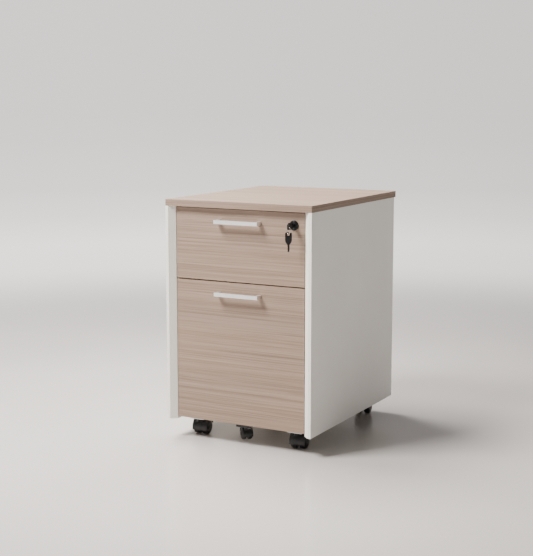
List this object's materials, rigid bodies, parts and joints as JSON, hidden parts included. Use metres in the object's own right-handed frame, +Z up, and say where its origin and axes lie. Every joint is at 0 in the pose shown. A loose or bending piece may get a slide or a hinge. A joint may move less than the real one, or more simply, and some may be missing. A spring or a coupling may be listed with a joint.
{
  "type": "rolling pedestal cabinet",
  "caption": "Low rolling pedestal cabinet with a shallow drawer over a file drawer, bow handles, a key lock and twin-wheel casters, for storage beside or under a desk.",
  "frame": {"origin": "bottom centre of the whole object: midway across the width, midway between the foremost point of the keys and the rear edge of the top, on the floor", "axes": "+X to the right seen from the front, +Y from the front to the back, +Z up"},
  "size_m": [0.4, 0.5208, 0.6],
  "materials": {
    "oak_laminate": "matt wood-grain laminate with a horizontal grain",
    "white_laminate": "warm white melamine, fine matt texture",
    "drawer_board": "light grey melamine",
    "satin_aluminium": "satin anodised",
    "zinc_steel": "zinc plated",
    "black_steel": "black powder coat",
    "black_nylon": "moulded black nylon",
    "wheel_nylon": "moulded black nylon, worn smooth on the tread",
    "lock_black": "black satin plated",
    "key_black": "black coated",
    "ring_steel": "nickel-plated spring wire"
  },
  "bodies": {
    "cabinet": {"top_panel": "oak_laminate", "left_side_panel": "white_laminate", "right_side_panel": "white_laminate", "bottom_panel": "white_laminate", "back_panel": "white_laminate", "lock_bar_guide": "black_nylon", "upper_left_cabinet_runner": "zinc_steel", "upper_right_cabinet_runner": "zinc_steel", "lower_left_cabinet_runner": "zinc_steel", "lower_right_cabinet_runner": "zinc_steel", "front_left_caster_plate": "zinc_steel", "front_right_caster_plate": "zinc_steel", "rear_left_caster_plate": "zinc_steel", "rear_right_caster_plate": "zinc_steel"},
    "upper_drawer": {"upper_drawer_front": "oak_laminate", "upper_drawer_left_side": "drawer_board", "upper_drawer_right_side": "drawer_board", "upper_drawer_back": "drawer_board", "upper_drawer_base": "drawer_board", "upper_left_drawer_runner": "zinc_steel", "upper_right_drawer_runner": "zinc_steel", "upper_handle": "satin_aluminium", "lock_barrel": "lock_black"},
    "lower_drawer": {"lower_drawer_front": "oak_laminate", "lower_drawer_left_side": "drawer_board", "lower_drawer_right_side": "drawer_board", "lower_drawer_back": "drawer_board", "lower_drawer_base": "drawer_board", "lower_left_drawer_runner": "zinc_steel", "lower_right_drawer_runner": "zinc_steel", "lower_handle": "satin_aluminium", "front_file_rail": "zinc_steel", "rear_file_rail": "zinc_steel", "fifth_caster_bracket": "black_steel", "fifth_caster_plate": "zinc_steel"},
    "upper_middle_runners": {"upper_left_middle_runner": "zinc_steel", "upper_right_middle_runner": "zinc_steel"},
    "lower_middle_runners": {"lower_left_middle_runner": "zinc_steel", "lower_right_middle_runner": "zinc_steel"},
    "lock_cylinder": {"lock_plug": "lock_black", "lock_eccentric": "zinc_steel"},
    "key": {"key": "key_black"},
    "key_ring": {"key_ring": "ring_steel"},
    "spare_key": {"spare_key": "key_black"},
    "lock_bar": {"lock_bar": "zinc_steel"},
    "front_left_caster_swivel": {"front_left_caster_housing": "black_nylon"},
    "front_left_caster_left_wheel": {"front_left_caster_left_wheel": "wheel_nylon"},
    "front_left_caster_right_wheel": {"front_left_caster_right_wheel": "wheel_nylon"},
    "front_right_caster_swivel": {"front_right_caster_housing": "black_nylon"},
    "front_right_caster_left_wheel": {"front_right_caster_left_wheel": "wheel_nylon"},
    "front_right_caster_right_wheel": {"front_right_caster_right_wheel": "wheel_nylon"},
    "rear_left_caster_swivel": {"rear_left_caster_housing": "black_nylon"},
    "rear_left_caster_left_wheel": {"rear_left_caster_left_wheel": "wheel_nylon"},
    "rear_left_caster_right_wheel": {"rear_left_caster_right_wheel": "wheel_nylon"},
    "rear_right_caster_swivel": {"rear_right_caster_housing": "black_nylon"},
    "rear_right_caster_left_wheel": {"rear_right_caster_left_wheel": "wheel_nylon"},
    "rear_right_caster_right_wheel": {"rear_right_caster_right_wheel": "wheel_nylon"},
    "fifth_caster_swivel": {"fifth_caster_housing": "black_nylon"},
    "fifth_caster_left_wheel": {"fifth_caster_left_wheel": "wheel_nylon"},
    "fifth_caster_right_wheel": {"fifth_caster_right_wheel": "wheel_nylon"}
  },
  "joints": [
    {"name": "upper_drawer_slide", "type": "slide", "parent": "cabinet", "child": "upper_drawer", "axis": [0, -1, 0], "range_m": [0, 0.4]},
    {"name": "lower_drawer_slide", "type": "slide", "parent": "cabinet", "child": "lower_drawer", "axis": [0, -1, 0], "range_m": [0, 0.4]},
    {"name": "upper_middle_runner_slide", "type": "slide", "parent": "cabinet", "child": "upper_middle_runners", "axis": [0, -1, 0], "range_m": [0, 0.2001]},
    {"name": "lower_middle_runner_slide", "type": "slide", "parent": "cabinet", "child": "lower_middle_runners", "axis": [0, -1, 0], "range_m": [0, 0.2001]},
    {"name": "lock_turn", "type": "hinge", "parent": "upper_drawer", "child": "lock_cylinder", "pos_m": [0.148, -0.21955, 0.5515], "axis": [0, 1, 0], "range_deg": [0, 90.1]},
    {"name": "key_pull", "type": "slide", "parent": "lock_cylinder", "child": "key", "axis": [0, -1, 0], "range_m": [0, 0.02]},
    {"name": "key_ring_swing", "type": "hinge", "parent": "key", "child": "key_ring", "pos_m": [0.148, -0.25515, 0.5515], "axis": [1, 0, 0], "range_deg": [-10, 10]},
    {"name": "spare_key_swing", "type": "hinge", "parent": "key_ring", "child": "spare_key", "pos_m": [0.148, -0.25515, 0.5333], "axis": [0.5, -0.866, 0], "range_deg": [-15, 15]},
    {"name": "lock_bar_lift", "type": "slide", "parent": "cabinet", "child": "lock_bar", "axis": [0, 0, 1], "range_m": [0, 0.00849]},
    {"name": "front_left_caster_turn", "type": "hinge", "parent": "cabinet", "child": "front_left_caster_swivel", "pos_m": [-0.138, -0.18255, 0.042], "axis": [0, 0, 1], "continuous": true},
    {"name": "front_left_caster_left_wheel_roll", "type": "hinge", "parent": "front_left_caster_swivel", "child": "front_left_caster_left_wheel", "pos_m": [-0.13995, -0.16869, 0.01983], "axis": [0.9903, 0.1392, 0], "continuous": true},
    {"name": "front_left_caster_right_wheel_roll", "type": "hinge", "parent": "front_left_caster_swivel", "child": "front_left_caster_right_wheel", "pos_m": [-0.13995, -0.16869, 0.01983], "axis": [0.9903, 0.1392, 0], "continuous": true},
    {"name": "front_right_caster_turn", "type": "hinge", "parent": "cabinet", "child": "front_right_caster_swivel", "pos_m": [0.138, -0.18255, 0.042], "axis": [0, 0, 1], "continuous": true},
    {"name": "front_right_caster_left_wheel_roll", "type": "hinge", "parent": "front_right_caster_swivel", "child": "front_right_caster_left_wheel", "pos_m": [0.13605, -0.16869, 0.01983], "axis": [0.9903, 0.1392, 0], "continuous": true},
    {"name": "front_right_caster_right_wheel_roll", "type": "hinge", "parent": "front_right_caster_swivel", "child": "front_right_caster_right_wheel", "pos_m": [0.13605, -0.16869, 0.01983], "axis": [0.9903, 0.1392, 0], "continuous": true},
    {"name": "rear_left_caster_turn", "type": "hinge", "parent": "cabinet", "child": "rear_left_caster_swivel", "pos_m": [-0.138, 0.20045, 0.042], "axis": [0, 0, 1], "continuous": true},
    {"name": "rear_left_caster_left_wheel_roll", "type": "hinge", "parent": "rear_left_caster_swivel", "child": "rear_left_caster_left_wheel", "pos_m": [-0.13995, 0.21431, 0.01983], "axis": [0.9903, 0.1392, 0], "continuous": true},
    {"name": "rear_left_caster_right_wheel_roll", "type": "hinge", "parent": "rear_left_caster_swivel", "child": "rear_left_caster_right_wheel", "pos_m": [-0.13995, 0.21431, 0.01983], "axis": [0.9903, 0.1392, 0], "continuous": true},
    {"name": "rear_right_caster_turn", "type": "hinge", "parent": "cabinet", "child": "rear_right_caster_swivel", "pos_m": [0.138, 0.20045, 0.042], "axis": [0, 0, 1], "continuous": true},
    {"name": "rear_right_caster_left_wheel_roll", "type": "hinge", "parent": "rear_right_caster_swivel", "child": "rear_right_caster_left_wheel", "pos_m": [0.13605, 0.21431, 0.01983], "axis": [0.9903, 0.1392, 0], "continuous": true},
    {"name": "rear_right_caster_right_wheel_roll", "type": "hinge", "parent": "rear_right_caster_swivel", "child": "rear_right_caster_right_wheel", "pos_m": [0.13605, 0.21431, 0.01983], "axis": [0.9903, 0.1392, 0], "continuous": true},
    {"name": "fifth_caster_turn", "type": "hinge", "parent": "lower_drawer", "child": "fifth_caster_swivel", "pos_m": [0, -0.18655, 0.042], "axis": [0, 0, 1], "continuous": true},
    {"name": "fifth_caster_left_wheel_roll", "type": "hinge", "parent": "fifth_caster_swivel", "child": "fifth_caster_left_wheel", "pos_m": [-0.00778, -0.17877, 0.01987], "axis": [0.7071, 0.7071, 0], "continuous": true},
    {"name": "fifth_caster_right_wheel_roll", "type": "hinge", "parent": "fifth_caster_swivel", "child": "fifth_caster_right_wheel", "pos_m": [-0.00778, -0.17877, 0.01987], "axis": [0.7071, 0.7071, 0], "continuous": true}
  ],
  "couplings": [
    {"joint": "upper_middle_runner_slide", "follows": "upper_drawer_slide", "ratio": 0.5},
    {"joint": "lower_middle_runner_slide", "follows": "lower_drawer_slide", "ratio": 0.5},
    {"joint": "lock_turn", "follows": "lock_bar_lift", "rad_per_m": 185.12}
  ]
}
